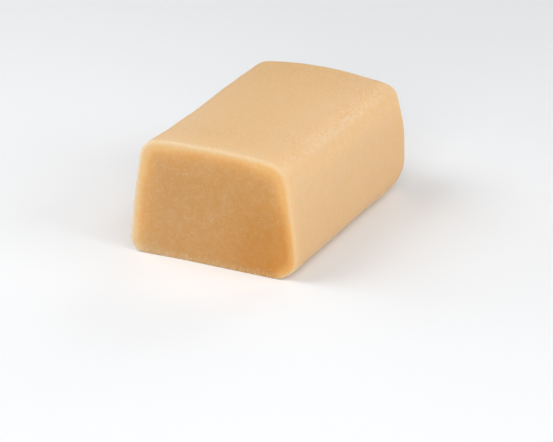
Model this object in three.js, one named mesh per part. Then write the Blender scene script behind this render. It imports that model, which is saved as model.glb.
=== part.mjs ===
// A loaf of raw marzipan, moulded by hand and freshly cut straight across its front end.
// Millimetres, +Z up. The loaf lies along Y with the cut facing -Y. The origin is in the
// middle of the underside.
import * as THREE from "three";
import { mergeVertices, toCreasedNormals } from "three/addons/utils/BufferGeometryUtils.js";

// Cross-section, seen from the cut end
const BASE_WIDTH = 90;
const TOP_WIDTH = 76.2; // between the long top edges, before they are rounded
const SHOULDER = 57.9; // height of those edges
const CROWN_FRONT = 2.5; // rise of the middle of the top over its edges, at the cut
const CROWN_BACK = 3.7; // the same at the moulded end
const BELLY_LEFT = 0.3; // how far each side bulges at half height
const BELLY_RIGHT = 1.2;
const ROUND_FOOT_LEFT = 6.5; // radii of the four long edges
const ROUND_FOOT_RIGHT = 11;
const ROUND_TOP_RIGHT = 8.7;
const ROUND_TOP_LEFT = 9.1;

// Along the loaf
const LENGTH = 128;
const END_ROUND_LEFT = 11; // radii of the edges round the moulded end
const END_ROUND_RIGHT = 5;
const END_ROUND_TOP = 11.6;
const END_ROUND_FOOT = 15;
const CUT_ROUND = 0.8; // the knife leaves the edge of the cut slightly soft

// Swells (rise > 0) and hollows (rise < 0) left by the hands, each fading over its reach
const DENTS = [
  { at: [-30, -62, 60], reach: 14, rise: 0.4 }, // lip at the cut's upper left corner
  { at: [-36, -16, 57], reach: 28, rise: -0.6 }, // sag of the left top edge behind it
  { at: [-34, -42, 58], reach: 11, rise: -0.4 },
  { at: [33, -63, 57], reach: 8, rise: -0.5 }, // upper right corner of the cut, pressed rounder
  { at: [38, -62, 46], reach: 10, rise: 0.6 },
  { at: [34, 4, 58], reach: 18, rise: -0.5 }, // thumbed flat on the right top edge
  { at: [6, -20, 61], reach: 26, rise: -0.4 },
  { at: [26, 60, 56], reach: 15, rise: -0.5 },
  { at: [44, -60, 12], reach: 24, rise: 0.9 }, // right side bows in between its ends
  { at: [44, 20, 8], reach: 30, rise: -0.9 },
  { at: [42, 60, 36], reach: 20, rise: 1.6 },
  { at: [37.2, 61.8, 54.3], reach: 8, rise: 1.9 }, // pinched corner of the moulded end
  { at: [-43.5, -60, 25], reach: 24, rise: 0.7 },
  { at: [-43, -4, 26], reach: 30, rise: -0.6 },
  { at: [-42, 36, 34], reach: 20, rise: 0.5 },
];
const FLAT_FOOT = 4; // below this height they push sideways only, so the underside stays flat

// Fineness of the surface
const ARC_STEPS = 7;
const SIDE_STEP = 6;
const LENGTH_STEP = 5;
const END_STEPS = 10;
const CUT_STEPS = 2;

const back = LENGTH / 2;
const deepest = Math.max(END_ROUND_LEFT, END_ROUND_RIGHT, END_ROUND_TOP, END_ROUND_FOOT);

// Arc that rounds the corner b between the edges from a and to c.
function cornerArc(a, b, c, radius) {
  const toA = a.clone().sub(b).normalize();
  const toC = c.clone().sub(b).normalize();
  const half = Math.acos(toA.dot(toC)) / 2;
  const middle = toA.clone().add(toC).normalize();
  const centre = b.clone().addScaledVector(middle, radius / Math.sin(half));
  const turn = Math.PI - 2 * half;
  const facing = Math.atan2(-middle.y, -middle.x);
  return new THREE.EllipseCurve(
    centre.x,
    centre.y,
    radius,
    radius,
    facing - turn / 2,
    facing + turn / 2,
  );
}

// Outline of the loaf across its length, as a trapezoid with rounded corners.
function crossSection() {
  const corners = [
    [-BASE_WIDTH / 2, 0, ROUND_FOOT_LEFT],
    [BASE_WIDTH / 2, 0, ROUND_FOOT_RIGHT],
    [TOP_WIDTH / 2, SHOULDER, ROUND_TOP_RIGHT],
    [-TOP_WIDTH / 2, SHOULDER, ROUND_TOP_LEFT],
  ];
  const points = corners.map(([x, z]) => new THREE.Vector2(x, z));
  const arcs = points.map((point, i) =>
    cornerArc(points.at(i - 1), point, points[(i + 1) % points.length], corners[i][2]),
  );
  const outline = [];
  arcs.forEach((arc, i) => {
    const next = arcs[(i + 1) % arcs.length];
    const side = new THREE.LineCurve(arc.getPoint(1), next.getPoint(0));
    outline.push(...arc.getPoints(ARC_STEPS));
    outline.push(...side.getPoints(Math.round(side.getLength() / SIDE_STEP)).slice(1, -1));
  });
  return new THREE.Shape(outline);
}

// Distances of the cross-sections from the moulded end, close together where it is rounded.
function stations() {
  const list = [];
  for (let i = 0; i < END_STEPS; i++) {
    list.push(deepest * (1 - Math.cos((i / END_STEPS) * (Math.PI / 2))));
  }
  const straight = LENGTH - deepest - CUT_ROUND;
  const steps = Math.round(straight / LENGTH_STEP);
  for (let i = 0; i < steps; i++) {
    list.push(deepest + (i / steps) * straight);
  }
  for (let i = 0; i <= CUT_STEPS; i++) {
    list.push(LENGTH - CUT_ROUND + CUT_ROUND * Math.sin((i / CUT_STEPS) * (Math.PI / 2)));
  }
  return list;
}

// How far an edge of this radius has drawn in at a distance from the face it rounds.
function drawIn(distance, radius) {
  const short = Math.max(radius - distance, 0);
  return radius - Math.sqrt(radius * radius - short * short);
}

// Crown of the top and belly of the sides.
function swell(point) {
  const across = THREE.MathUtils.clamp(1 - (2 * point.x / TOP_WIDTH) ** 2, 0, 1);
  const upper = THREE.MathUtils.clamp(2 * point.z / SHOULDER - 1, 0, 1) ** 3;
  const crown = THREE.MathUtils.mapLinear(point.y, -back, back, CROWN_FRONT, CROWN_BACK);
  const outer = Math.min(Math.abs(2 * point.x / TOP_WIDTH), 1) ** 4;
  const belly = point.x < 0 ? -BELLY_LEFT : BELLY_RIGHT;
  point.x += belly * outer * Math.sin(Math.PI * Math.min(point.z / SHOULDER, 1));
  point.z += crown * upper * across;
}

// Roundness of both ends: the cross-section shrinks towards the face it runs into.
function roundEnds(point, distance) {
  const cut = drawIn(LENGTH - distance, CUT_ROUND);
  const left = drawIn(distance, END_ROUND_LEFT) + cut;
  const right = drawIn(distance, END_ROUND_RIGHT) + cut;
  const top = drawIn(distance, END_ROUND_TOP) + cut;
  const foot = drawIn(distance, END_ROUND_FOOT);
  const inward = point.x < 0 ? left : right;
  point.x *= 1 - inward / (BASE_WIDTH / 2);
  point.z = foot + point.z * (1 - (top + foot) / SHOULDER);
}

// Push of the swells and hollows, away from the loaf's long middle line.
function press(point) {
  const outward = new THREE.Vector3(point.x / BASE_WIDTH, 0, point.z / SHOULDER - 0.5);
  outward.normalize();
  outward.z *= THREE.MathUtils.smoothstep(point.z, FLAT_FOOT, 3 * FLAT_FOOT);
  const at = new THREE.Vector3();
  let push = 0;
  for (const dent of DENTS) {
    const near = point.distanceTo(at.fromArray(dent.at)) / dent.reach;
    push += dent.rise * Math.exp(-2 * near * near);
  }
  point.addScaledVector(outward, push);
}

function loafGeometry() {
  const along = stations();
  const steps = along.length - 1;
  const extruded = new THREE.ExtrudeGeometry(crossSection(), {
    depth: 1,
    steps,
    bevelEnabled: false,
  });
  extruded.deleteAttribute("normal");
  extruded.deleteAttribute("uv");
  const geometry = mergeVertices(extruded);
  const position = geometry.getAttribute("position");
  const point = new THREE.Vector3();
  for (let i = 0; i < position.count; i++) {
    const distance = along[Math.round(position.getZ(i) * steps)];
    point.set(position.getX(i), back - distance, position.getY(i));
    swell(point);
    roundEnds(point, distance);
    press(point);
    position.setXYZ(i, point.x, point.y, point.z);
  }
  // The origin goes in the middle of the underside.
  geometry.computeBoundingBox();
  const middle = geometry.boundingBox.getCenter(new THREE.Vector3());
  geometry.translate(-middle.x, -middle.y, -geometry.boundingBox.min.z);
  return toCreasedNormals(geometry, Math.PI / 5);
}

const marzipan = new THREE.MeshStandardMaterial({
  color: 0xe4bd8e,
  roughness: 0.62,
  metalness: 0,
});

const loaf = new THREE.Mesh(loafGeometry(), marzipan);
loaf.name = "marzipan_loaf";

const group = new THREE.Group();
group.name = "marzipan";
group.add(loaf);

export default group;
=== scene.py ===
"""Looks of a marzipan loaf that is freshly cut across one end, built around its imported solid."""

import math

import bmesh
import bpy
from bpy.props import FloatProperty, FloatVectorProperty, IntProperty, PointerProperty
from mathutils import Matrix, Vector


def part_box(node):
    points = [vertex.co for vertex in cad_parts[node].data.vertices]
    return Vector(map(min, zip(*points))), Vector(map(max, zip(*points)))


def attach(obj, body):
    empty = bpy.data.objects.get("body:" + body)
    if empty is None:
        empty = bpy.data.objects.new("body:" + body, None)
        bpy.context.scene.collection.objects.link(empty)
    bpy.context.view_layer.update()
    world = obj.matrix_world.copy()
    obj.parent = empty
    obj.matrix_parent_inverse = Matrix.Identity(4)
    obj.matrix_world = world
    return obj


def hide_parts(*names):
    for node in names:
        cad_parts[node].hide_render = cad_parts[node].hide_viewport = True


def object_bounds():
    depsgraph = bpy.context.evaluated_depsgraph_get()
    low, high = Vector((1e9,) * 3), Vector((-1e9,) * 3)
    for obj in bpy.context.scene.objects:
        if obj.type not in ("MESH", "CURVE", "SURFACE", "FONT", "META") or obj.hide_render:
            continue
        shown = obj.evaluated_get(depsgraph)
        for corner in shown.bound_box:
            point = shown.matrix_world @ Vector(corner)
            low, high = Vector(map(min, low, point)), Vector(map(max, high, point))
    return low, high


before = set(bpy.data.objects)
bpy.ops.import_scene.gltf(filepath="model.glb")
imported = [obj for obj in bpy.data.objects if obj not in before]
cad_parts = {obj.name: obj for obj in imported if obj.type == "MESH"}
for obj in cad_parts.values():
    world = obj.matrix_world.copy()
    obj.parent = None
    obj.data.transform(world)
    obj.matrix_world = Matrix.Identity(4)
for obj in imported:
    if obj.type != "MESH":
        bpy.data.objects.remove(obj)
CAD_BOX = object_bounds()

bl_info = {
    "name": "Marzipan Loaf",
    "version": (1, 0, 0),
    "blender": (4, 5, 0),
    "location": "View3D > Sidebar > Marzipan",
    "description": "Resurfaces a loaf of marzipan, gives it grain and crumbs and lights it",
    "category": "Object",
}

LOAF_NODE = "marzipan_loaf"
BODY = "root"
MM = 0.001
PER_MM = 1000.0
NOISE_MIDDLE = (0.5, 0.5, 0.5)  # colour of a noise where it is neither high nor low

# Places on the loaf in millimetres. Those with two numbers lie along it, at an x and a z.
CUT_PLACE = CAD_BOX[0][1] * PER_MM  # y of the cut
RUBBED_EDGE = (36.5, 55.2)  # the right long edge
LIT_EDGE = (38.3, 50.5)  # the band of painted highlight just under it
UPPER_CORNER = (32.0, 50.0)  # inside the cut's upper right corner, and mirrored to its left
GLOWING_CORNER = (38.0, 6.0)  # the cut's lower right corner
DRAGGED_CORNER = (-44.0, -64.0, 2.0)  # the corner of the cut where the knife came out
DRAG_REACH = 30.0  # how far from it the paste was dragged along

# What red, green and blue gain where a tone is full
SKIN_PALENESS = (0.025, 0.075, 0.2)
EDGE_PALENESS = (0.012, 0.077, 0.195)
CUT_PALENESS = (0.015, 0.065, 0.22)
DEEP_SHADE = (-0.045, -0.04, -0.05)  # beside the cut's lower right corner
RIM_SHADE = (-0.08, -0.03, 0.03)  # on the cut's rim, to the right
RIM_LIGHT = (0.065, 0.095, 0.125)  # on the cut's rim, to the left
RIM_AMBER_GLOW = (0.025, -0.02, -0.15)  # painted glow of light shining through, a little way in from the rim
FOOT_SHADE = (-0.07, -0.02, 0.03)  # in the lower left corner of the cut


# Node helpers


class Nodes:
    """Writes nodes into one tree and hands back their sockets."""

    def __init__(self, tree):
        self.tree = tree

    def add(self, kind, values=(), **settings):
        """New node: settings are its own properties, values its inputs by name or place."""
        made = self.tree.nodes.new(kind)
        for name, value in settings.items():
            setattr(made, name, value)
        for key, value in dict(values).items():
            self.feed(made.inputs[key], value)
        return made

    def feed(self, socket, value):
        """Links a socket into an input, or sets a plain value on it."""
        if isinstance(value, bpy.types.NodeSocket):
            self.tree.links.new(value, socket)
        else:
            socket.default_value = value

    def inputs(self, *sockets):
        """Adds the group's inputs, each given as name and kind, and returns them by name."""
        for name, kind in sockets:
            self.tree.interface.new_socket(name, in_out="INPUT", socket_type=f"NodeSocket{kind}")
        return self.tree.nodes.new("NodeGroupInput").outputs

    def outputs(self, *results):
        """Adds the group's outputs, each given as name, kind and the socket that feeds it."""
        for name, kind, _ in results:
            self.tree.interface.new_socket(name, in_out="OUTPUT", socket_type=f"NodeSocket{kind}")
        end = self.tree.nodes.new("NodeGroupOutput")
        for name, _, socket in results:
            self.tree.links.new(socket, end.inputs[name])

    def calc(self, operation, *terms):
        """Result of one sum on numbers."""
        return self.add("ShaderNodeMath", enumerate(terms), operation=operation).outputs[0]

    def times(self, *terms):
        """Product of any count of numbers."""
        result = terms[0]
        for term in terms[1:]:
            result = self.calc("MULTIPLY", result, term)
        return result

    def total(self, *terms):
        """Sum of any count of numbers."""
        result = terms[0]
        for term in terms[1:]:
            result = self.calc("ADD", result, term)
        return result

    def rest(self, share):
        """What is left of 1 once a share is taken."""
        return self.calc("SUBTRACT", 1.0, share)

    def vector(self, operation, *terms):
        """Result of one sum on vectors."""
        made = self.add("ShaderNodeVectorMath", enumerate(terms), operation=operation)
        return made.outputs["Value" if operation == "LENGTH" else "Vector"]

    def scaled(self, vector, factor):
        """A vector made longer by a factor."""
        values = {"Vector": vector, "Scale": factor}
        return self.add("ShaderNodeVectorMath", values, operation="SCALE").outputs["Vector"]

    def parts(self, vector):
        """The three numbers of a vector."""
        return self.add("ShaderNodeSeparateXYZ", {0: vector}).outputs[:3]

    def joined(self, *numbers):
        """A vector made of numbers."""
        return self.add("ShaderNodeCombineXYZ", enumerate(numbers)).outputs[0]

    def ramp(self, value, start, end, low=0.0, high=1.0):
        """Smooth step of a value over a band, from low at its start to high at its end."""
        values = {
            "Value": value,
            "From Min": start,
            "From Max": end,
            "To Min": low,
            "To Max": high,
        }
        made = self.add("ShaderNodeMapRange", values, interpolation_type="SMOOTHSTEP")
        return made.outputs["Result"]

    def noise(self, place, scale=1.0, detail=2.0, roughness=0.5, distortion=0.0):
        """Smooth noise from 0 to 1."""
        values = {
            "Vector": place,
            "Scale": scale,
            "Detail": detail,
            "Roughness": roughness,
            "Distortion": distortion,
        }
        return self.add("ShaderNodeTexNoise", values).outputs[0]

    def swing(self, value, reach):
        """A 0 to 1 value turned into one from -reach to +reach."""
        return self.times(self.calc("MULTIPLY_ADD", value, 2.0, -1.0), reach)

    def clouds(self, place, scale, detail, reach):
        """Smooth noise from -reach to +reach."""
        return self.swing(self.noise(place, scale, detail), reach)

    def mix(self, share, a, b, blend="MIX"):
        """Colour a turning into colour b as share goes from 0 to 1."""
        made = self.add("ShaderNodeMix", data_type="RGBA", blend_type=blend)
        for name, value in (("Factor_Float", share), ("A_Color", a), ("B_Color", b)):
            self.feed(next(s for s in made.inputs if s.identifier == name), value)
        return next(s for s in made.outputs if s.identifier == "Result_Color")

    def toned(self, base, tone, paleness):
        """A colour that gains a paleness where tone is over 0 and loses it where it is under."""
        gain = self.vector("MULTIPLY_ADD", self.joined(tone, tone, tone), paleness, (1.0,) * 3)
        return self.mix(1.0, base, gain, "MULTIPLY")

    def attribute(self, name):
        """A number stored on the mesh, read in a material."""
        return self.add("ShaderNodeAttribute", attribute_name=name).outputs["Fac"]

    def stored(self, name):
        """A number stored on the mesh, read in a geometry tree."""
        made = self.add("GeometryNodeInputNamedAttribute", {"Name": name}, data_type="FLOAT")
        return made.outputs["Attribute"]


def solid(values, factor=1.0):
    """A colour property as an opaque socket value, lighter or darker by a factor."""
    return (*(min(v * factor, 1.0) for v in values), 1.0)


def set_inputs(modifier, values):
    """Sets a node modifier's inputs by name."""
    for socket in modifier.node_group.interface.items_tree:
        if socket.in_out == "INPUT" and socket.name in values:
            modifier[socket.identifier] = values[socket.name]


def finished_mesh(piece, material):
    """Turns a piece with modifiers into a plain mesh of one material."""
    evaluated = piece.evaluated_get(bpy.context.evaluated_depsgraph_get())
    mesh = bpy.data.meshes.new_from_object(evaluated)
    if not mesh.polygons:
        raise RuntimeError(f"{piece.name} came out empty")
    mesh.materials.clear()
    mesh.materials.append(material)
    piece.modifiers.clear()
    piece.data = mesh
    mesh.name = piece.name


# Sizes and colours


def length(name, text, default):
    """Property that holds a length in metres."""
    return FloatProperty(name=name, description=text, default=default, unit="LENGTH", precision=5)


def angle(name, text, default):
    """Property that holds an angle, whose default is given in degrees."""
    return FloatProperty(
        name=name, description=text, default=math.radians(default), subtype="ANGLE"
    )


def number(name, text, default):
    """Property that holds a plain number."""
    return FloatProperty(name=name, description=text, default=default)


def colour(name, text, default):
    """Property that holds a colour."""
    return FloatVectorProperty(
        name=name, description=text, default=default, subtype="COLOR", min=0.0, max=1.0
    )


class MarzipanLoafSettings(bpy.types.PropertyGroup):
    """Surface and colours of the loaf"""

    facet: length("Facet", "Size of the faces of the loaf's surface", 0.72 * MM)
    drag: length("Drag", "How far the knife dragged the cut's lower corner out", 1.1 * MM)
    lump_height: length("Lump height", "Height of the soft lumps left by the hands", 0.07 * MM)
    wrinkle_depth: length("Wrinkle depth", "Depth of the fine wrinkles on the top", 0.06 * MM)
    wrinkle_spacing: length("Wrinkle spacing", "Distance between wrinkles", 3.4 * MM)
    wrinkle_length: length("Wrinkle length", "Length of a wrinkle", 10.0 * MM)
    hair_spacing: length("Hair spacing", "Distance between the finest wrinkles", 1.2 * MM)
    hair_length: length("Hair length", "Length of the finest wrinkles", 3.6 * MM)
    wrinkle_turn: angle("Wrinkle turn", "Direction of the wrinkles across the top", -32.0)
    streak_depth: length("Streak depth", "Depth of the upright streaks on the sides", 0.02 * MM)
    grain_depth: length("Grain depth", "Roughness of the cut paste", 0.012 * MM)
    pit_depth: length("Pit depth", "Depth between the grains of the rubbed edge", 0.012 * MM)
    seed: IntProperty(name="Seed", description="Moves the lumps, streaks and grain", default=3)
    translucency: length("Translucency", "How far light spreads inside the paste", 2.5 * MM)
    skin: colour("Skin", "Colour of the outside", (0.756, 0.498, 0.266))
    # The rubbed colour is partly wear and partly painted highlight, and it also paints the glow on
    # the top behind the cut
    rubbed: colour("Rubbed", "Colour of the long edge, where it is rubbed", (0.87, 0.588, 0.3))
    # The rim's paleness is partly dried paste and partly painted edge light; this colour also
    # paints the lip round the cut and runs along the cut's foot
    dry_and_lit: colour("Dry", "Colour of the cut's rim, which dries first", (0.725, 0.55, 0.345))
    glow: colour("Glow", "Colour just inside the rim, lit from within", (0.785, 0.525, 0.238))
    # The ring is painted light that the paste carries in from the rim; this colour also paints the
    # light shining through low on the right of the cut
    ring: colour("Ring", "Colour of the cut a little way in from its rim", (0.745, 0.412, 0.15))
    # The paste is deeper than the skin, partly as fresh paste and partly as painted shade of the
    # cut; this colour also paints shade on the skin, low on the sides and on the top
    paste: colour("Paste", "Colour of the middle of the cut", (0.6, 0.34, 0.13))
    # Painted light shining through the cut's lower right corner, and painted shade where less
    # light reaches it
    glowing: colour("Moist", "Colour of the moist lower corner of the cut", (0.605, 0.274, 0.052))


class MarzipanCrumbSettings(bpy.types.PropertyGroup):
    """Crumbs that cling to the loaf"""

    smallest: length("Smallest", "Width of the smallest crumbs", 0.25 * MM)
    largest: length("Largest", "Width of the largest crumbs", 0.6 * MM)
    foot_density: number("Foot density", "Crumbs for a square metre along the cut's foot", 9e5)
    cut_density: number("Cut density", "Crumbs for a square metre of the cut", 4e3)
    edge_density: number("Edge density", "Crumbs for a square metre of the rubbed edge", 8e3)
    seed: IntProperty(name="Seed", description="Changes where the crumbs lie", default=5)
    crumb: colour("Crumb", "Colour of the crumbs", (0.84, 0.62, 0.38))


class MarzipanStageSettings(bpy.types.PropertyGroup):
    """Floor, light and camera"""

    floor: colour("Floor", "Colour of the floor", (0.866, 0.877, 0.891))
    sky: number("Sky", "Strength of the even light all round", 0.02)
    azimuth: angle("Azimuth", "How far the camera stands round to the right of the cut", 26.458)
    elevation: angle("Elevation", "Height of the camera above the horizon", 23.85)
    distance: length("Distance", "Distance of the camera from what it looks at", 1.477)
    focal: number("Focal length", "Focal length of the camera in millimetres", 201.3)
    aim: FloatVectorProperty(
        name="Aim",
        description="Point that the camera looks at",
        default=(23.31 * MM, -42.74 * MM, 19.65 * MM),
        subtype="TRANSLATION",
    )


# Bands and patterns that the values below hold:
# a band is where an effect starts and where it is full, and may add its strength at both;
# a noise is its scale, its detail and, for some, its roughness;
# clouds are a scale, a detail and a strength;
# grains are their size in millimetres, their share of the surface, a band and a strength.


# Grains that the materials share

GRAIN_BEND_SCALE = 1.3  # noise that bends the grid of grains
GRAIN_BEND = 0.7  # how far it bends it, as a share of a grain's size
GRAIN_CHANCE = (-0.02, 0.12)  # how far past the share's limit a cell's chance has to be
GRAIN_SPOT = (0.62, 0.32)  # distances from a grain's middle, as shares of its size


def flecks_group():
    """Shader group of small pale grains that are strewn through the paste."""
    tree = bpy.data.node_groups.new("almond_flecks", "ShaderNodeTree")
    nodes = Nodes(tree)
    given = nodes.inputs(
        ("Vector", "Vector"),
        ("Size", "Float"),
        ("Share", "Float"),
    )
    grid = nodes.vector("DIVIDE", given["Vector"], nodes.joined(*[given["Size"]] * 3))
    bent = nodes.add("ShaderNodeTexNoise", {"Vector": grid, "Scale": GRAIN_BEND_SCALE})
    push = nodes.scaled(bent.outputs["Color"], GRAIN_BEND)
    cells = nodes.add(
        "ShaderNodeTexVoronoi", {"Vector": nodes.vector("ADD", grid, push), "Scale": 1.0}
    )
    chance = nodes.parts(cells.outputs["Color"])[0]
    over = nodes.calc("SUBTRACT", chance, nodes.rest(given["Share"]))
    spot = nodes.ramp(cells.outputs["Distance"], *GRAIN_SPOT)
    fleck = nodes.times(spot, nodes.ramp(over, *GRAIN_CHANCE))
    nodes.outputs(("Fleck", "Float", fleck))
    return tree


def flecks(nodes, tree, place, size, share):
    """Mask of grains of a size in millimetres that fill a share of the surface."""
    made = nodes.add("ShaderNodeGroup", node_tree=tree)
    for name, value in (("Vector", place), ("Size", size), ("Share", share)):
        nodes.feed(made.inputs[name], value)
    return made.outputs["Fleck"]


# Wrinkles of the top

WIND_SCALE = 0.1 * PER_MM  # noise that makes them wind
WIND_REACH = 6.0 * MM
PATCH_SCALE = 0.08  # noise of the patches that they come in
PATCHES = (0.4, 0.62, 0.3, 1.0)
FAR_PATCHES = (5.0, 45.0, 0.3, 0.75)  # least wrinkling towards the moulded end
BOTH_ENDS = (8.0, 45.0, 0.55, 1.0)  # growth from the middle towards both ends
LAYER_SCALES = (1.0, 1.8)
LAYER_NOISE = (2.0, 0.55, 0.6)  # detail, roughness and distortion
LINE_WIDTH = (0.05, 0.0)
HAIR_NOISE = (1.0, 1.0)
LIT_SIDE = (0.0, 0.4, 0.0)  # step across a wrinkle from its shaded to its lit side


def wrinkle_grid(nodes, place, turn, run, spacing):
    """Places laid out along winding wrinkles, by how long one runs and how far apart they lie."""
    winding = nodes.add("ShaderNodeTexNoise", {"Vector": place, "Scale": WIND_SCALE})
    off = nodes.vector("SUBTRACT", winding.outputs["Color"], NOISE_MIDDLE)
    turned = nodes.add(
        "ShaderNodeVectorRotate",
        {"Vector": nodes.vector("ADD", place, nodes.scaled(off, WIND_REACH)), "Angle": turn},
        rotation_type="Z_AXIS",
        invert=True,
    ).outputs[0]
    return nodes.vector("DIVIDE", turned, nodes.joined(run, spacing, spacing))


def wrinkle_share(nodes, place):
    """Share of wrinkling, which comes in patches and grows towards both ends of the loaf."""
    spread = nodes.scaled(place, PER_MM)
    y = nodes.parts(spread)[1]
    patches = nodes.ramp(nodes.noise(spread, PATCH_SCALE), *PATCHES)
    patches = nodes.calc("MAXIMUM", patches, nodes.ramp(y, *FAR_PATCHES))
    return nodes.times(patches, nodes.ramp(nodes.calc("ABSOLUTE", y), *BOTH_ENDS))


def wrinkle_lines(nodes, place, turn, run, spacing):
    """Mask of short wrinkles. Sizes are in metres."""
    grid = wrinkle_grid(nodes, place, turn, run, spacing)
    layers = []
    for scale in LAYER_SCALES:
        waves = nodes.noise(grid, scale, *LAYER_NOISE)
        off = nodes.calc("ABSOLUTE", nodes.calc("SUBTRACT", waves, 0.5))
        layers.append(nodes.ramp(off, *LINE_WIDTH))
    return nodes.times(nodes.calc("MAXIMUM", *layers), wrinkle_share(nodes, place))


def hair_wrinkles(nodes, place, turn, run, spacing):
    """The finest wrinkles, under 0 on their shaded side and over 0 on their lit side."""
    grid = wrinkle_grid(nodes, place, turn, run, spacing)
    near = nodes.noise(grid, *HAIR_NOISE)
    beside = nodes.noise(nodes.vector("ADD", grid, LIT_SIDE), *HAIR_NOISE)
    return nodes.times(nodes.calc("SUBTRACT", near, beside), wrinkle_share(nodes, place))


# Rubbed edge

WAVER = (0.15, 2.0, 1.5)
WEAR = (-60.0, 5.0, 0.45, 1.0)  # slight near the cut, full further back


def line_distance(nodes, x, z, line):
    """Distance in millimetres from a line along the loaf, given by its x and z."""
    across = nodes.calc("SUBTRACT", x, line[0])
    above = nodes.calc("SUBTRACT", z, line[1])
    return nodes.vector("LENGTH", nodes.joined(across, 0.0, above))


def edge_distance(nodes, spread):
    """Distance in millimetres from the rubbed long edge, whose line wavers a little."""
    x, _, z = nodes.parts(spread)
    away = line_distance(nodes, x, z, RUBBED_EDGE)
    return nodes.total(away, nodes.clouds(spread, *WAVER))


def wear(nodes, spread):
    """Share of rubbing along the loaf."""
    return nodes.ramp(nodes.parts(spread)[1], *WEAR)


# Surface of the loaf

SHARP_BEND = math.radians(60.0)  # edges that bend more than this stay sharp
MERGE_DISTANCE = 0.01 * MM
BLUR_ROUNDS = 6
ABOVE_FOOT = (0.8 * MM, 3.5 * MM)
NEAR_CUT = (4.0 * MM, 2.0 * MM)
FACING_FRONT = (-0.55, -0.9)  # how far a normal points back
FACING_UP = (0.3, 0.75)  # how far it points up
FACING_SIDE = (0.6, 0.3)
FACING_DOWN = (-0.5, -0.85)
NEAR_EDGE = (5.0, 1.0)
PIT_SCALE = 0.7  # cells of the rubbed edge's grains
PIT_WIDTH = (0.3, 0.7)
LUMPS = (0.07, 1.0)
UPRIGHT = (0.05, 0.4, 0.05)  # stretches a noise into upright streaks on the sides
PASTE_GRAIN = (0.9, 3.0, 0.6)
GRAIN_SHARE = (0.0, 1.0, 0.3, 1.0)  # from the skin to the cut


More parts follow.
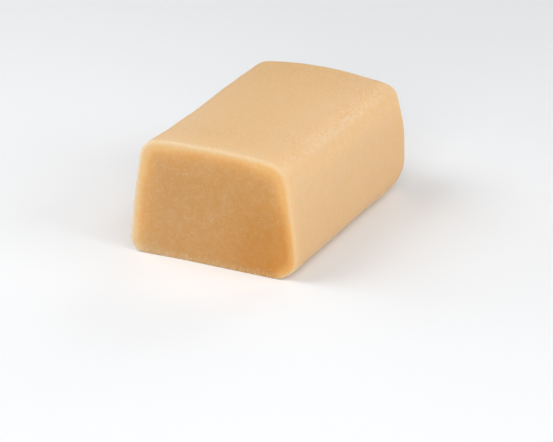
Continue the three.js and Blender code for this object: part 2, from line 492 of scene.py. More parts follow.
def relief_tree():
    """Node tree that evens a remeshed loaf and gives it wrinkles, lumps, streaks and grain."""
    tree = bpy.data.node_groups.new("marzipan_relief", "GeometryNodeTree")
    nodes = Nodes(tree)
    given = nodes.inputs(
        ("Geometry", "Geometry"),
        ("Cut Plane", "Float"),
        ("Facet", "Float"),
        ("Drag", "Float"),
        ("Lump Height", "Float"),
        ("Wrinkle Depth", "Float"),
        ("Wrinkle Spacing", "Float"),
        ("Wrinkle Length", "Float"),
        ("Wrinkle Turn", "Float"),
        ("Streak Depth", "Float"),
        ("Grain Depth", "Float"),
        ("Pit Depth", "Float"),
        ("Seed", "Int"),
        ("Material", "Material"),
    )
    place = nodes.add("GeometryNodeInputPosition").outputs[0]
    normal = nodes.add("GeometryNodeInputNormal").outputs[0]
    x_place, y_place, z_place = nodes.parts(place)
    behind_cut = nodes.calc("SUBTRACT", y_place, given["Cut Plane"])

    # A few rounds of blurring take out the facets of the solid, and leave the foot sharp.
    blurred = nodes.add(
        "GeometryNodeBlurAttribute",
        {
            "Value": place,
            "Iterations": BLUR_ROUNDS,
            "Weight": nodes.ramp(z_place, *ABOVE_FOOT),
        },
        data_type="FLOAT_VECTOR",
    ).outputs[0]
    smooth = nodes.add(
        "GeometryNodeSetPosition", {"Geometry": given["Geometry"], "Position": blurred}
    ).outputs[0]

    # Remeshing cuts off the corner where the cut meets the floor, so its points go back out.
    two_facets = nodes.times(given["Facet"], 2.0)
    at_corner = nodes.times(
        nodes.calc("LESS_THAN", behind_cut, given["Facet"]),
        nodes.calc("LESS_THAN", z_place, two_facets),
    )
    smooth = nodes.add(
        "GeometryNodeSetPosition",
        {
            "Geometry": smooth,
            "Selection": at_corner,
            "Position": nodes.joined(x_place, given["Cut Plane"], z_place),
        },
    ).outputs[0]

    # Where a point lies on the loaf, as shares from 0 to 1
    _, along, up = nodes.parts(normal)
    cut = nodes.times(nodes.ramp(along, *FACING_FRONT), nodes.ramp(behind_cut, *NEAR_CUT))
    top = nodes.ramp(up, *FACING_UP)
    side = nodes.ramp(nodes.calc("ABSOLUTE", up), *FACING_SIDE)
    under = nodes.ramp(up, *FACING_DOWN)
    plain = nodes.scaled(place, PER_MM)
    near_edge = nodes.ramp(edge_distance(nodes, plain), *NEAR_EDGE)
    rub = nodes.times(near_edge, wear(nodes, plain), nodes.rest(cut))
    creased = nodes.times(top, nodes.rest(cut))

    # Distance from the skin in millimetres, which is how far in from its rim the cut lies
    bare = nodes.calc("LESS_THAN", nodes.calc("MAXIMUM", cut, under), 0.5)
    skin_only = nodes.add(
        "GeometryNodeSeparateGeometry", {"Geometry": smooth, "Selection": bare}, domain="FACE"
    ).outputs["Selection"]
    nearest = nodes.add("GeometryNodeProximity", {0: skin_only}, target_element="FACES")
    depth = nodes.times(nearest.outputs["Distance"], PER_MM)

    # Hollows
    lines = wrinkle_lines(
        nodes,
        place,
        given["Wrinkle Turn"],
        given["Wrinkle Length"],
        given["Wrinkle Spacing"],
    )
    wrinkles = nodes.times(lines, creased, given["Wrinkle Depth"])
    cells = nodes.add("ShaderNodeTexVoronoi", {"Vector": plain, "Scale": PIT_SCALE})
    apart = nodes.ramp(cells.outputs["Distance"], *PIT_WIDTH)
    pits = nodes.times(apart, rub, given["Pit Depth"])

    # Swells, laid out in millimetres and moved about by the seed
    shift = nodes.joined(*[given["Seed"]] * 3)
    spread = nodes.vector("MULTIPLY_ADD", place, (PER_MM,) * 3, shift)
    lumps = nodes.clouds(spread, *LUMPS, given["Lump Height"])
    upright = nodes.vector("MULTIPLY", spread, UPRIGHT)
    streaks = nodes.times(nodes.swing(nodes.noise(upright), given["Streak Depth"]), side)
    fine = nodes.swing(nodes.noise(spread, *PASTE_GRAIN), given["Grain Depth"])
    grain = nodes.times(fine, nodes.ramp(cut, *GRAIN_SHARE))

    swells = nodes.total(nodes.times(lumps, nodes.rest(cut)), streaks, grain)
    hollows = nodes.total(wrinkles, pits)
    height = nodes.times(nodes.calc("SUBTRACT", swells, hollows), nodes.rest(under))
    off_corner = nodes.vector("LENGTH", nodes.vector("SUBTRACT", plain, DRAGGED_CORNER))
    dragged = nodes.times(nodes.ramp(off_corner, DRAG_REACH, 0.0), given["Drag"])
    forward = nodes.joined(0.0, nodes.times(dragged, -1.0), 0.0)

    geometry = smooth
    attributes = {
        "cut": cut,
        "depth": depth,
        "rub": rub,
        "side": side,
        "creased": creased,
    }
    for name, value in attributes.items():
        geometry = nodes.add(
            "GeometryNodeStoreNamedAttribute",
            {"Geometry": geometry, "Name": name, "Value": value},
            data_type="FLOAT",
            domain="POINT",
        ).outputs[0]
    raised = nodes.add(
        "GeometryNodeSetPosition",
        {
            "Geometry": geometry,
            "Offset": nodes.vector("ADD", nodes.scaled(normal, height), forward),
        },
    ).outputs[0]
    finish_tree(nodes, raised, given["Material"])
    return tree


def finish_tree(nodes, geometry, material):
    """Ends a geometry tree: smooth but for its sharp edges, realized and with its material."""
    geometry = nodes.add("GeometryNodeSetShadeSmooth", {"Geometry": geometry}).outputs[0]
    bend = nodes.add("GeometryNodeInputMeshEdgeAngle").outputs["Unsigned Angle"]
    sharp = nodes.calc("GREATER_THAN", bend, SHARP_BEND)
    geometry = nodes.add(
        "GeometryNodeSetShadeSmooth",
        {"Geometry": geometry, "Selection": sharp, "Shade Smooth": False},
        domain="EDGE",
    ).outputs[0]
    geometry = nodes.add("GeometryNodeRealizeInstances", {"Geometry": geometry}).outputs[0]
    values = {"Geometry": geometry, "Material": material}
    painted = nodes.add("GeometryNodeSetMaterial", values).outputs[0]
    nodes.outputs(("Geometry", "Geometry", painted))


# Colour of the skin, with bands in millimetres

# Clouds, streaks and wrinkles
SKIN_CLOUDS = ((0.1, 2.0, 0.3), (0.35, 1.0, 0.3), (1.4, 2.0, 0.6))
SIDE_CLOUDS = (0.6, 2.0, 0.65)
SIDE_STREAKS = (1.0, 3.0, 0.35)
# Painted shade in the wrinkles of the top, and painted light and shade across its finest wrinkles
WRINKLE_SHADE = -0.5
HAIR_LIGHT_AND_SHADE = 4.6
SHOULDER_SHADING = (8.0, 38.0, -0.25, 0.2)  # painted light and shade: paler from the top's middle out to both long edges
# Painted light on the front left of the top and painted shade on its back left
TOP_LEFT_SHADING = (0.0, -35.0)
TOP_LEFT_FRONT_SHADING = (50.0, -50.0, -0.4, 0.4)

# Ridge and grains of the rubbed edge
EDGE_STRETCH = (0.55, 0.3, 0.55)  # stretches a noise along the rubbed edge
RIDGE_NOISE = (1.0, 3.0, 0.6)
RIDGE_BLOBS = (0.4, 0.6)
RIDGE_WIDTH = (3.4, 1.0)
RIDGE_TONE = 1.1
RIDGE_LIGHT = 0.03
DARK_DOTS = (1.4, 0.5, (14.0, 3.0), -1.2)
ABOVE_EDGE = (37.0, 35.0)  # the dark dots lie on the top alone
PALE_SPECKS = (1.5, 0.2, (26.0, 5.0), 1.35)
PALE_GRIT = (0.9, 0.45, (5.0, 1.5), 0.9)
EDGE_SHADE = (16.0, 4.0, 0.0, -0.2)
FAR_FADE = (10.0, 55.0, 1.0, 0.5)  # grains grow faint towards the moulded end

# Painted shade, then painted highlight and glow, and the paler lip by the cut
LOW_SIDE_SHADE = (52.0, 5.0, 0.1, 0.35)
TOP_MIDDLE_SHADE = (28.0, 4.0, 0.0, 0.04)
FAR_TOP_SHADE = (0.0, 60.0, 0.0, 0.14)
FAR_CORNER_SHADE_BACK = (30.0, 58.0)
FAR_CORNER_SHADE_RIGHT = (0.0, 25.0, 0.0, 0.07)
LIT_WIDTH = (12.0, 2.0, 0.0, 0.25)
EDGE_HIGHLIGHT_WIDTH = (5.0, 1.0)
EDGE_HIGHLIGHT_BACK = (0.0, 35.0, 0.0, 0.12)
BEHIND_CUT = (18.0, 0.0)
SIDE_GLOW = (5.0, 50.0, 0.05, 0.25)
TOP_GLOW = 0.28
LIP_WIDTH = (6.0, 0.0)
LIP_TOP = (0.0, 1.0, 0.15, 0.8)  # from the sides to the top
LIP_RIGHT = (0.0, 35.0, 1.0, 0.75)


def skin_tone(nodes, settings, place, spread):
    """Paleness of the skin: cloudy, streaked on its sides, with painted light and shade across its
    top and painted shade in its wrinkles.
    """
    creased = nodes.attribute("creased")
    side = nodes.attribute("side")
    lines = wrinkle_lines(
        nodes,
        place,
        settings.wrinkle_turn,
        settings.wrinkle_length,
        settings.wrinkle_spacing,
    )
    hairs = hair_wrinkles(
        nodes,
        place,
        settings.wrinkle_turn,
        settings.hair_length,
        settings.hair_spacing,
    )
    x, y, _ = nodes.parts(spread)
    shoulder_shading = nodes.ramp(nodes.calc("ABSOLUTE", x), *SHOULDER_SHADING)
    front_left_shading = nodes.times(nodes.ramp(x, *TOP_LEFT_SHADING), nodes.ramp(y, *TOP_LEFT_FRONT_SHADING))
    upright = nodes.vector("MULTIPLY", spread, UPRIGHT)
    return nodes.total(
        nodes.times(nodes.calc("ADD", shoulder_shading, front_left_shading), creased),
        *(nodes.clouds(spread, *clouds) for clouds in SKIN_CLOUDS),
        nodes.times(side, nodes.clouds(upright, *SIDE_STREAKS)),
        nodes.times(side, nodes.clouds(spread, *SIDE_CLOUDS)),
        nodes.times(lines, creased, WRINKLE_SHADE),
        nodes.times(hairs, creased, HAIR_LIGHT_AND_SHADE),
    )


def edge_ridge(nodes, spread):
    """Mask of the broken ridge that runs along the rubbed edge."""
    stretched = nodes.vector("MULTIPLY", spread, EDGE_STRETCH)
    blobs = nodes.ramp(nodes.noise(stretched, *RIDGE_NOISE), *RIDGE_BLOBS)
    near = nodes.ramp(edge_distance(nodes, spread), *RIDGE_WIDTH)
    return nodes.times(near, blobs, wear(nodes, spread))


def edge_tone(nodes, grains, spread, ridge):
    """Paleness of the rubbed edge, from its ridge and the grains on both sides of it."""
    x, y, _ = nodes.parts(spread)
    away = edge_distance(nodes, spread)
    worn = wear(nodes, spread)
    fade = nodes.ramp(y, *FAR_FADE)

    def gathered(size, share, band, strength):
        spots = flecks(nodes, grains, spread, size, share)
        return nodes.times(spots, nodes.ramp(away, *band), worn, strength, fade)

    return nodes.total(
        nodes.times(gathered(*DARK_DOTS), nodes.ramp(x, *ABOVE_EDGE)),
        gathered(*PALE_SPECKS),
        gathered(*PALE_GRIT),
        nodes.times(ridge, RIDGE_TONE, fade),
        nodes.ramp(away, *EDGE_SHADE),
    )


def skin_colour(nodes, settings, grains, place, spread):
    """Colour of the outside: clouded, with painted shade in its wrinkles, low on the sides and
    towards the far end, painted highlight and wear on the rubbed edge, and painted glow and edge
    light round the cut.
    """
    creased = nodes.attribute("creased")
    x, y, z = nodes.parts(spread)
    ridge = edge_ridge(nodes, spread)

    # Painted shade in the paste's colour: darker low on the sides, along the middle of the top and
    # towards its far end
    low = nodes.times(nodes.ramp(z, *LOW_SIDE_SHADE), nodes.attribute("side"))
    middle = nodes.ramp(nodes.calc("ABSOLUTE", x), *TOP_MIDDLE_SHADE)
    corner = nodes.times(nodes.ramp(y, *FAR_CORNER_SHADE_BACK), nodes.ramp(x, *FAR_CORNER_SHADE_RIGHT))
    far = nodes.times(nodes.total(nodes.ramp(y, *FAR_TOP_SHADE), middle, corner), creased)
    base = nodes.mix(nodes.calc("ADD", low, far), solid(settings.skin), solid(settings.paste))

    # Paler on the rubbed edge and just under it: partly wear and partly painted highlight
    near_edge = nodes.ramp(edge_distance(nodes, spread), *EDGE_HIGHLIGHT_WIDTH)
    lit = nodes.total(
        nodes.ramp(line_distance(nodes, x, z, LIT_EDGE), *LIT_WIDTH),
        nodes.times(ridge, RIDGE_LIGHT),
        nodes.times(near_edge, nodes.ramp(y, *EDGE_HIGHLIGHT_BACK)),
    )
    base = nodes.mix(lit, base, solid(settings.rubbed))

    # Painted glow from within behind the cut, and on the lip round it a paler rim, partly dried
    # skin and partly painted edge light
    behind_cut = nodes.calc("SUBTRACT", y, CUT_PLACE)
    near_cut = nodes.ramp(behind_cut, *BEHIND_CUT)
    beside = nodes.times(near_cut, nodes.rest(creased), nodes.ramp(z, *SIDE_GLOW))
    base = nodes.mix(beside, base, solid(settings.glow))
    base = nodes.mix(nodes.times(near_cut, creased, TOP_GLOW), base, solid(settings.rubbed))
    lip = nodes.times(
        nodes.ramp(behind_cut, *LIP_WIDTH),
        nodes.ramp(creased, *LIP_TOP),
        nodes.ramp(x, *LIP_RIGHT),
    )
    base = nodes.mix(lip, base, solid(settings.dry_and_lit))
    base = nodes.toned(base, edge_tone(nodes, grains, spread, ridge), EDGE_PALENESS)
    return nodes.toned(base, skin_tone(nodes, settings, place, spread), SKIN_PALENESS)


# Colour of the cut, with bands in millimetres across it, up it or in from its rim

# Width of the rings of colour, which paint the light that the paste carries in from its rim
CUT_RIGHT = (20.0, 40.0)
CUT_LEFT = (-25.0, -42.0)
WIDER_RIGHT = (50.0, 10.0, 0.4, 1.5)  # how much wider they are, going down
WIDER_LEFT = (45.0, 20.0, 0.0, 1.0)
WIDER_CORNER = (20.0, 4.0, 0.0, 1.5)  # the same, going towards an upper corner

# Rim, paler where it is partly dried and partly painted edge light, then its painted glow
PALE_RIM_WIDTH = (0.0, 38.0, 3.0, 1.7)  # width of its pale part, going right
PALE_RIM_WIDTH_LEFT = (52.0, 14.0, 0.5, 2.4)  # what the left adds to it, going down
LEAST_GLOW = (0.0, 42.0, 0.0, 0.5)
# Painted light shining through the lower right of the cut, in the ring's colour
ORANGE_GLOW_RIGHT = (10.0, 40.0)
ORANGE_GLOW_LOW = (45.0, 5.0, 0.2, 0.75)
ORANGE_GLOW_IN = (0.3, 2.0)

# Paste, with painted light and shade in its lower right corner, and paler along the foot
RING_IN = (1.5, 5.5)
PASTE_IN = (2.0, 10.0, 0.0, 0.65)
PASTE_DEEP = (4.0, 20.0, 0.0, 0.35)
GLOW_REACH = (48.0, 8.0, 0.0, 0.8)
GLOW_IN = (0.0, 5.0)
DEEP_REACH = (36.0, 22.0)
DEEP_LEFT = (36.0, 28.0)
PALE_FOOT = (5.0, 0.5, 0.0, 0.25)

# Painted light and shade of the rim, its painted glow, and painted shade of the lower left corner
SHADE_IN = (1.2, 0.2)
SHADE_RIGHT = (25.0, 42.0)
LIGHT_IN = (2.6, 0.3)
AMBER_GLOW_START = (0.5, 2.5)
AMBER_GLOW_END = (8.0, 4.0)
AMBER_GLOW_RIGHT = (10.0, 38.0, 0.35, 1.0)
FOOT_IN = (1.5, 4.5)
FOOT_LOW = (14.0, 3.0)
FOOT_LEFT = (-24.0, -36.0)

# Mottles and flecks
MOTTLES = (0.25, 3.0, 0.6)
MOTTLE_TONE = 1.2
CUT_CLOUDS = (0.12, 2.0, 1.0)
CUT_NOISE = (1.0, 2.0, 0.6)
CUT_NOISE_TONE = 1.2
FLECK_SHARE = (0.35, 0.65, 0.15, 0.7)  # more flecks where the mottles are pale
CUT_FLECKS = ((1.3, 1.1), (0.8, 1.0))  # size in millimetres and strength
WARMER_RIGHT = (-42.0, 36.0, -0.15, -0.88)
PALE_LOW = (14.0, 4.0, 0.0, 0.6)
PALE_LEFT = (-20.0, -40.0)
TONE_IN = (0.0, 6.0, 0.3, 1.0)


def ring_depth(nodes, x, z, from_rim, left):
    """Depth in from the cut's rim, taken as less where its rings of colour are wider."""
    right = nodes.times(nodes.ramp(x, *CUT_RIGHT), nodes.ramp(z, *WIDER_RIGHT))
    wider = nodes.calc("ADD", right, nodes.times(left, nodes.ramp(z, *WIDER_LEFT)))
    off_corner = line_distance(nodes, nodes.calc("ABSOLUTE", x), z, UPPER_CORNER)
    depth = nodes.calc("SUBTRACT", from_rim, wider)
    return nodes.calc("SUBTRACT", depth, nodes.ramp(off_corner, *WIDER_CORNER))


def rim_colour(nodes, settings, x, z, from_rim, left):
    """Colour of the cut's rim: pale with dried paste and painted edge light, then a painted glow,
    and painted light shining through orange low on the right.
    """
    pale_width = nodes.total(
        nodes.ramp(x, *PALE_RIM_WIDTH), nodes.times(left, nodes.ramp(z, *PALE_RIM_WIDTH_LEFT))
    )
    inside = nodes.calc(
        "MAXIMUM", nodes.ramp(from_rim, 0.0, pale_width), nodes.ramp(x, *LEAST_GLOW)
    )
    base = nodes.mix(inside, solid(settings.dry_and_lit), solid(settings.glow))
    # Painted light shining through, orange low on the right
    orange = nodes.times(
        nodes.ramp(x, *ORANGE_GLOW_RIGHT),
        nodes.ramp(z, *ORANGE_GLOW_LOW),
        nodes.ramp(from_rim, *ORANGE_GLOW_IN),
    )
    return nodes.mix(orange, base, solid(settings.ring))


def shaded_rim(nodes, base, x, z, from_rim, left):
    """The cut's colour, with the painted light and shade of its rim, a painted glow a little way
    in, and the painted shade of its lower left corner.
    """
    shade = nodes.times(nodes.ramp(from_rim, *SHADE_IN), nodes.ramp(x, *SHADE_RIGHT))
    base = nodes.toned(base, shade, RIM_SHADE)
    light = nodes.times(nodes.ramp(from_rim, *LIGHT_IN), left)
    base = nodes.toned(base, light, RIM_LIGHT)
    # Painted glow of light shining through the paste
    amber_glow = nodes.times(
        nodes.ramp(from_rim, *AMBER_GLOW_START),
        nodes.ramp(from_rim, *AMBER_GLOW_END),
        nodes.ramp(x, *AMBER_GLOW_RIGHT),
    )
    base = nodes.toned(base, amber_glow, RIM_AMBER_GLOW)
    foot = nodes.times(
        nodes.ramp(z, *FOOT_LOW), nodes.ramp(x, *FOOT_LEFT), nodes.ramp(from_rim, *FOOT_IN)
    )
    return nodes.toned(base, foot, FOOT_SHADE)


def cut_tone(nodes, grains, spread, from_rim, depth):
    """Paleness of the cut: mottled and flecked, warmer to the right and evener at the rim."""
    x, _, z = nodes.parts(spread)
    mottles = nodes.noise(spread, *MOTTLES)
    share = nodes.ramp(mottles, *FLECK_SHARE)
    spots = [
        nodes.times(flecks(nodes, grains, spread, size, share), strength)
        for size, strength in CUT_FLECKS
    ]
    tone = nodes.total(
        nodes.clouds(spread, *CUT_CLOUDS),
        nodes.swing(mottles, MOTTLE_TONE),
        nodes.swing(nodes.noise(spread, *CUT_NOISE), CUT_NOISE_TONE),
        *spots,
        nodes.ramp(x, *WARMER_RIGHT),
        nodes.times(
            nodes.ramp(z, *PALE_LOW), nodes.ramp(x, *PALE_LEFT), nodes.ramp(from_rim, *FOOT_IN)
        ),
    )
    return nodes.times(tone, nodes.ramp(depth, *TONE_IN))


def cut_colour(nodes, settings, grains, spread):
    """Colour of the cut: pale at the rim, then a painted glow and an orange ring of light carried
    in from the rim, then the grainy paste.
    """
    x, _, z = nodes.parts(spread)
    from_rim = nodes.attribute("depth")
    left = nodes.ramp(x, *CUT_LEFT)
    depth = ring_depth(nodes, x, z, from_rim, left)
    base = rim_colour(nodes, settings, x, z, from_rim, left)
    # Painted light carried in from the rim: the ring fades into the paste
    base = nodes.mix(nodes.ramp(depth, *RING_IN), base, solid(settings.ring))
    inner = nodes.total(nodes.ramp(depth, *PASTE_IN), nodes.ramp(depth, *PASTE_DEEP))
    base = nodes.mix(inner, base, solid(settings.paste))
    # Painted light shining through the lower right corner, and painted shade where less light
    # reaches it
    off_corner = line_distance(nodes, x, z, GLOWING_CORNER)
    glowing = nodes.times(nodes.ramp(off_corner, *GLOW_REACH), nodes.ramp(depth, *GLOW_IN))
    base = nodes.mix(glowing, base, solid(settings.glowing))
    deep = nodes.times(nodes.ramp(off_corner, *DEEP_REACH), nodes.ramp(x, *DEEP_LEFT))
    base = nodes.toned(base, deep, DEEP_SHADE)
    base = nodes.mix(nodes.ramp(z, *PALE_FOOT), base, solid(settings.dry_and_lit))
    base = shaded_rim(nodes, base, x, z, from_rim, left)
    return nodes.toned(base, cut_tone(nodes, grains, spread, from_rim, depth), CUT_PALENESS)


# Loaf

LOAF_NOISE = (1.6, 4.0, 0.65)  # finest unevenness, in the bump and the gloss
LOAF_ROUGHNESS = (0.3, 0.7, 0.52, 0.66)


def new_material(name):
    """Empty node material and the writer for its tree."""
    material = bpy.data.materials.new(name)
    material.use_nodes = True
    material.node_tree.nodes.clear()
    return material, Nodes(material.node_tree)


def paste_shader(nodes, base, bump, roughness, translucency):
    """Translucent almond paste as the material's surface."""
    shader = nodes.add(
        "ShaderNodeBsdfPrincipled",
        {
            "Base Color": base,
            "Roughness": roughness,
            "Specular IOR Level": 0.35,
            "Subsurface Weight": 1.0,
            "Subsurface Radius": (1.0, 1.0, 1.0),
            "Subsurface Scale": translucency,
            "Normal": bump,
        },
    )
    nodes.add("ShaderNodeOutputMaterial", {"Surface": shader.outputs[0]})


def loaf_material(settings, grains):
    """Almond paste, dried outside and grainy where it is cut, where its deeper colour is partly
    fresh paste and partly painted shade.
    """
    material, nodes = new_material("marzipan_loaf")
    place = nodes.add("ShaderNodeTexCoord").outputs["Object"]
    spread = nodes.scaled(place, PER_MM)
    base = nodes.mix(
        nodes.attribute("cut"),
        skin_colour(nodes, settings, grains, place, spread),
        cut_colour(nodes, settings, grains, spread),
    )
    fine = nodes.noise(spread, *LOAF_NOISE)
    bump = nodes.add(
        "ShaderNodeBump", {"Height": fine, "Strength": 0.06, "Distance": 0.12 * MM}
    )
    roughness = nodes.ramp(fine, *LOAF_ROUGHNESS)
    paste_shader(nodes, base, bump.outputs[0], roughness, settings.translucency)
    return material


class MARZIPAN_OT_loaf(bpy.types.Operator):
    """Make the loaf's fine surface over its solid"""

    bl_idname = "marzipan.loaf"
    bl_label = "Marzipan Loaf"

    def execute(self, context):
        settings = context.scene.marzipan_loaf
        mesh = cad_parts[LOAF_NODE].data.copy()
        mesh.materials.clear()
        work = bmesh.new()
        work.from_mesh(mesh)
        bmesh.ops.remove_doubles(work, verts=work.verts, dist=MERGE_DISTANCE)
        work.to_mesh(mesh)
        work.free()
        loaf = bpy.data.objects.new("loaf", mesh)
        context.scene.collection.objects.link(loaf)
        remesh = loaf.modifiers.new("surface", "REMESH")
        remesh.mode = "VOXEL"
        remesh.voxel_size = settings.facet
        material = loaf_material(settings, flecks_group())
        relief = loaf.modifiers.new("relief", "NODES")
        relief.node_group = relief_tree()
        set_inputs(
            relief,
            {
                "Cut Plane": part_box(LOAF_NODE)[0].y,
                "Facet": settings.facet,
                "Drag": settings.drag,
                "Lump Height": settings.lump_height,
                "Wrinkle Depth": settings.wrinkle_depth,
                "Wrinkle Spacing": settings.wrinkle_spacing,
                "Wrinkle Length": settings.wrinkle_length,
                "Wrinkle Turn": settings.wrinkle_turn,
                "Streak Depth": settings.streak_depth,
                "Grain Depth": settings.grain_depth,
                "Pit Depth": settings.pit_depth,
                "Seed": settings.seed,
                "Material": material,
            },
        )
        finished_mesh(loaf, material)
        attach(loaf, BODY)
        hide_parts(LOAF_NODE)
        return {"FINISHED"}


# Crumbs

ALONG_FOOT = (3.0 * MM, 0.8 * MM)  # heights over which crumbs gather along the foot
CRUMB_TONE_SCALE = 0.8
CRUMB_TONE = (0.3, 0.7)
CRUMB_SHADES = (0.88, 1.05, 1.15)  # dark, light and grain, against the crumbs' colour
CRUMB_GRAIN = (0.6, 0.4)  # size in millimetres and share of the surface
CRUMB_GRAIN_STRENGTH = 0.5
CRUMB_NOISE = (2.5, 3.0)
CRUMB_ROUGHNESS = (0.3, 0.7, 0.6, 0.72)


def crumb_tree():
    """Node tree that strews crumbs over the cut, its foot and the rubbed edge of a loaf."""
    tree = bpy.data.node_groups.new("marzipan_crumbs", "GeometryNodeTree")
    nodes = Nodes(tree)
    given = nodes.inputs(
        ("Geometry", "Geometry"),
        ("Foot Density", "Float"),
        ("Cut Density", "Float"),
        ("Edge Density", "Float"),
        ("Smallest", "Float"),
        ("Largest", "Float"),
        ("Seed", "Int"),
        ("Material", "Material"),
    )
    place = nodes.add("GeometryNodeInputPosition").outputs[0]
    cut = nodes.stored("cut")
    foot = nodes.ramp(nodes.parts(place)[2], *ALONG_FOOT)
    density = nodes.total(
        nodes.times(cut, foot, given["Foot Density"]),
        nodes.times(cut, given["Cut Density"]),
        nodes.times(nodes.stored("rub"), given["Edge Density"]),
    )
    points = nodes.add(
        "GeometryNodeDistributePointsOnFaces",
        {"Mesh": given["Geometry"], "Density": density, "Seed": given["Seed"]},
    )
    size = nodes.add("FunctionNodeRandomValue", {"Seed": given["Seed"]}, data_type="FLOAT")
    nodes.feed(size.inputs[2], given["Smallest"])
    nodes.feed(size.inputs[3], given["Largest"])
    turn = nodes.add("FunctionNodeRandomValue", {"Seed": given["Seed"]}, data_type="FLOAT_VECTOR")
    turn.inputs[1].default_value = (math.tau,) * 3
    ball = nodes.add("GeometryNodeMeshUVSphere", {"Segments": 6, "Rings": 4, "Radius": 0.5})
    strewn = nodes.add(
        "GeometryNodeInstanceOnPoints",
        {
            "Points": points.outputs["Points"],
            "Instance": ball.outputs["Mesh"],
            "Rotation": turn.outputs[0],
            "Scale": size.outputs[1],
        },
    ).outputs[0]
    crumbs = nodes.add("GeometryNodeRealizeInstances", {"Geometry": strewn}).outputs[0]

    # Each crumb gets lumps, and none reaches below the floor.
    lumpy = nodes.add(
        "ShaderNodeTexNoise", {"Vector": nodes.scaled(place, PER_MM), "Scale": 1.7}
    ).outputs["Color"]
    push = nodes.scaled(nodes.vector("SUBTRACT", lumpy, NOISE_MIDDLE), given["Smallest"])
    x, y, z = nodes.parts(nodes.vector("ADD", place, push))
    lifted = nodes.joined(x, y, nodes.calc("MAXIMUM", z, 0.0))
    crumbs = nodes.add(
        "GeometryNodeSetPosition", {"Geometry": crumbs, "Position": lifted}
    ).outputs[0]
    finish_tree(nodes, crumbs, given["Material"])
    return tree


def crumb_material(settings, grains):
    """Dry crumbs of the paste, each with a few paler grains."""
    material, nodes = new_material("marzipan_crumbs")
    place = nodes.add("ShaderNodeTexCoord").outputs["Object"]
    spread = nodes.scaled(place, PER_MM)
    dark, light, grain = (solid(settings.crumb, shade) for shade in CRUMB_SHADES)
    tone = nodes.ramp(nodes.noise(spread, CRUMB_TONE_SCALE), *CRUMB_TONE)
    spots = flecks(nodes, grains, spread, *CRUMB_GRAIN)
    base = nodes.mix(tone, dark, light)
    base = nodes.mix(nodes.times(spots, CRUMB_GRAIN_STRENGTH), base, grain)
    fine = nodes.noise(spread, *CRUMB_NOISE)
    bump = nodes.add(
        "ShaderNodeBump", {"Height": fine, "Strength": 0.3, "Distance": 0.08 * MM}
    )
    roughness = nodes.ramp(fine, *CRUMB_ROUGHNESS)
    paste_shader(nodes, base, bump.outputs[0], roughness, settings.largest)
    return material


class MARZIPAN_OT_crumbs(bpy.types.Operator):
    """Strew crumbs over the cut and the rubbed edge"""

    bl_idname = "marzipan.crumbs"
    bl_label = "Marzipan Crumbs"

    def execute(self, context):
        settings = context.scene.marzipan_crumbs
        crumbs = bpy.data.objects.new("crumbs", bpy.data.objects["loaf"].data.copy())
        crumbs.data.materials.clear()
        context.scene.collection.objects.link(crumbs)
        material = crumb_material(settings, bpy.data.node_groups["almond_flecks"])
        strew = crumbs.modifiers.new("strew", "NODES")
        strew.node_group = crumb_tree()
        set_inputs(
            strew,
            {
                "Foot Density": settings.foot_density,
                "Cut Density": settings.cut_density,
                "Edge Density": settings.edge_density,
                "Smallest": settings.smallest,
                "Largest": settings.largest,
                "Seed": settings.seed,
                "Material": material,
            },
        )
        finished_mesh(crumbs, material)
        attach(crumbs, BODY)
        return {"FINISHED"}


# Stage

FLOOR_REACH = 6.0
# Soft lights, each with its place, its width and its power in watts
LIGHTS = {
    "key_left": ((-0.5, -0.3, 0.8), 0.6, 4.8),
    "key_right": ((0.5, -0.3, 0.8), 0.6, 2.5),
    "front": ((0.4, -1.3, 0.55), 0.9, 9.1),
    "left": ((-1.2, 0.1, 0.55), 0.9, 4.5),
    "right": ((1.2, 0.1, 0.55), 0.9, 7.6),
    "back": ((0.1, 1.3, 0.55), 0.9, 5.9),
}
LIGHT_AIM = Vector((0.0, 0.0, 30.0 * MM))


def area_light(name, place, width, power):
    """Soft square light at a place, turned towards the loaf."""
    data = bpy.data.lights.new(name, "AREA")
    data.size = width
    data.energy = power
    light = bpy.data.objects.new(name, data)
    light.location = place
    light.rotation_euler = (LIGHT_AIM - Vector(place)).to_track_quat("-Z", "Y").to_euler()
    bpy.context.scene.collection.objects.link(light)


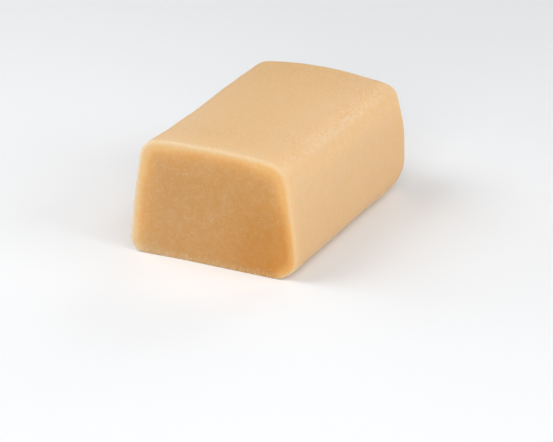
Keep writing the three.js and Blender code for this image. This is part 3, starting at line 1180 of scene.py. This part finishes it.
class MARZIPAN_OT_stage(bpy.types.Operator):
    """Make the floor, the light and the camera"""

    bl_idname = "marzipan.stage"
    bl_label = "Marzipan Stage"

    def execute(self, context):
        scene = context.scene
        settings = scene.marzipan_stage
        scene.view_settings.view_transform = "Standard"

        mesh = bpy.data.meshes.new("floor")
        work = bmesh.new()
        bmesh.ops.create_grid(work, x_segments=1, y_segments=1, size=FLOOR_REACH)
        work.to_mesh(mesh)
        work.free()
        floor = bpy.data.objects.new("floor", mesh)
        scene.collection.objects.link(floor)
        material = bpy.data.materials.new("floor")
        material.use_nodes = True
        shader = material.node_tree.nodes["Principled BSDF"]
        shader.inputs["Base Color"].default_value = solid(settings.floor)
        shader.inputs["Roughness"].default_value = 0.9
        shader.inputs["Specular IOR Level"].default_value = 0.05
        mesh.materials.append(material)

        world = bpy.data.worlds.new("studio")
        world.use_nodes = True
        sky = world.node_tree.nodes["Background"]
        sky.inputs["Color"].default_value = (1.0, 1.0, 1.0, 1.0)
        sky.inputs["Strength"].default_value = settings.sky
        scene.world = world
        for name, (place, width, power) in LIGHTS.items():
            area_light(name, place, width, power)

        data = bpy.data.cameras.new("camera")
        data.lens = settings.focal
        data.sensor_width = 36.0
        camera = bpy.data.objects.new("camera", data)
        az, el = settings.azimuth, settings.elevation
        back = Vector((math.sin(az) * math.cos(el), -math.cos(az) * math.cos(el), math.sin(el)))
        camera.location = Vector(settings.aim) + back * settings.distance
        camera.rotation_mode = "QUATERNION"
        camera.rotation_quaternion = (-back).to_track_quat("-Z", "Y")
        scene.collection.objects.link(camera)
        scene.camera = camera
        return {"FINISHED"}


# Add-on

PIECES = (
    (MARZIPAN_OT_loaf, "marzipan_loaf"),
    (MARZIPAN_OT_crumbs, "marzipan_crumbs"),
    (MARZIPAN_OT_stage, "marzipan_stage"),
)


class MARZIPAN_PT_sidebar(bpy.types.Panel):
    """Lists the pieces of the loaf and the stage"""

    bl_label = "Marzipan Loaf"
    bl_space_type = "VIEW_3D"
    bl_region_type = "UI"
    bl_category = "Marzipan"

    def draw(self, context):
        for operator, settings_name in PIECES:
            settings = getattr(context.scene, settings_name)
            box = self.layout.box()
            box.operator(operator.bl_idname)
            for name in settings.bl_rna.properties.keys():
                if name not in {"rna_type", "name"}:
                    box.prop(settings, name)


SETTINGS = {
    "marzipan_loaf": MarzipanLoafSettings,
    "marzipan_crumbs": MarzipanCrumbSettings,
    "marzipan_stage": MarzipanStageSettings,
}
CLASSES = (*SETTINGS.values(), *(operator for operator, _ in PIECES), MARZIPAN_PT_sidebar)


def register():
    for cls in CLASSES:
        bpy.utils.register_class(cls)
    for name, cls in SETTINGS.items():
        setattr(bpy.types.Scene, name, PointerProperty(type=cls))


def unregister():
    for name in SETTINGS:
        delattr(bpy.types.Scene, name)
    for cls in reversed(CLASSES):
        bpy.utils.unregister_class(cls)


def main():
    register()
    bpy.ops.marzipan.loaf()
    bpy.ops.marzipan.crumbs()
    bpy.ops.marzipan.stage()


if __name__ == "__main__":
    main()
